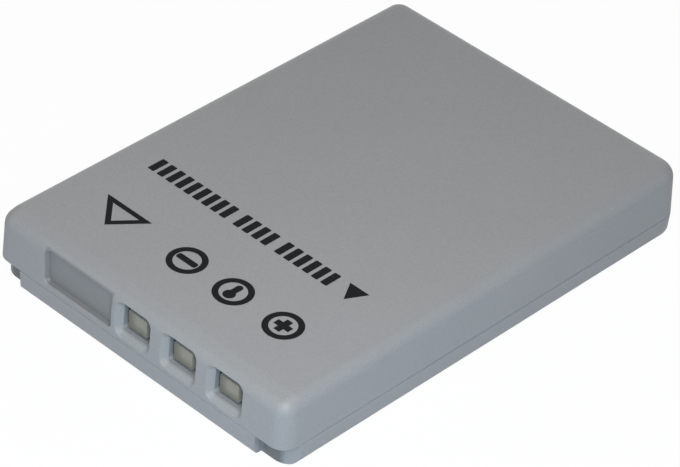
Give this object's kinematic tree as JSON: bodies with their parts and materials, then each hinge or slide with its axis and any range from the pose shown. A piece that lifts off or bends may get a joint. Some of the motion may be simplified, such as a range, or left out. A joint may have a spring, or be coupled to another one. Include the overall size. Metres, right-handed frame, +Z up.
{
  "type": "camera battery",
  "caption": "Slim silver-grey rechargeable camera battery: a flat two-shell case with a key recess and recessed contacts at one end.",
  "frame": {"origin": "middle of the underside", "axes": "+Y along the pack away from the contact end, +X across it to the right seen from the contact end, +Z up out of the printed face"},
  "size_m": [0.0354, 0.05, 0.0068],
  "materials": {
    "case_plastic": "fine matt silver-grey paint on moulded plastic",
    "aluminium_can": "drawn, satin",
    "nickel": "rolled nickel strip",
    "gold_plate": "thin dull gold plate on nickel",
    "circuit_board": "dark green solder mask",
    "component_body": "black moulding compound",
    "chip_ceramic": "fired ceramic with tinned ends",
    "white_plastic": "natural moulded plastic",
    "insulating_sheet": "pressed fibre sheet",
    "printed_ink": "black pad-printed ink on the top face",
    "adhesive_pad": "double-sided acrylic foam"
  },
  "bodies": {
    "root": {"upper_case": "case_plastic", "lower_cover": "case_plastic", "cell_can": "aluminium_can", "cell_cap_plate": "aluminium_can", "fill_plug": "aluminium_can", "negative_terminal": "nickel", "positive_tab": "nickel", "negative_cell_tab": "nickel", "negative_board_tab": "nickel", "contact_negative": "gold_plate", "contact_sense": "gold_plate", "contact_positive": "gold_plate", "protection_board": "circuit_board", "protection_ic": "component_body", "switch_transistors": "component_body", "sense_resistor": "chip_ceramic", "chip_resistors": "chip_ceramic", "chip_capacitors": "chip_ceramic", "board_holder": "white_plastic", "terminal_gasket": "white_plastic", "cap_insulator": "insulating_sheet", "thermal_cutoff": "insulating_sheet", "upper_adhesive_pad": "adhesive_pad", "lower_adhesive_pad": "adhesive_pad"}
  },
  "joints": []
}
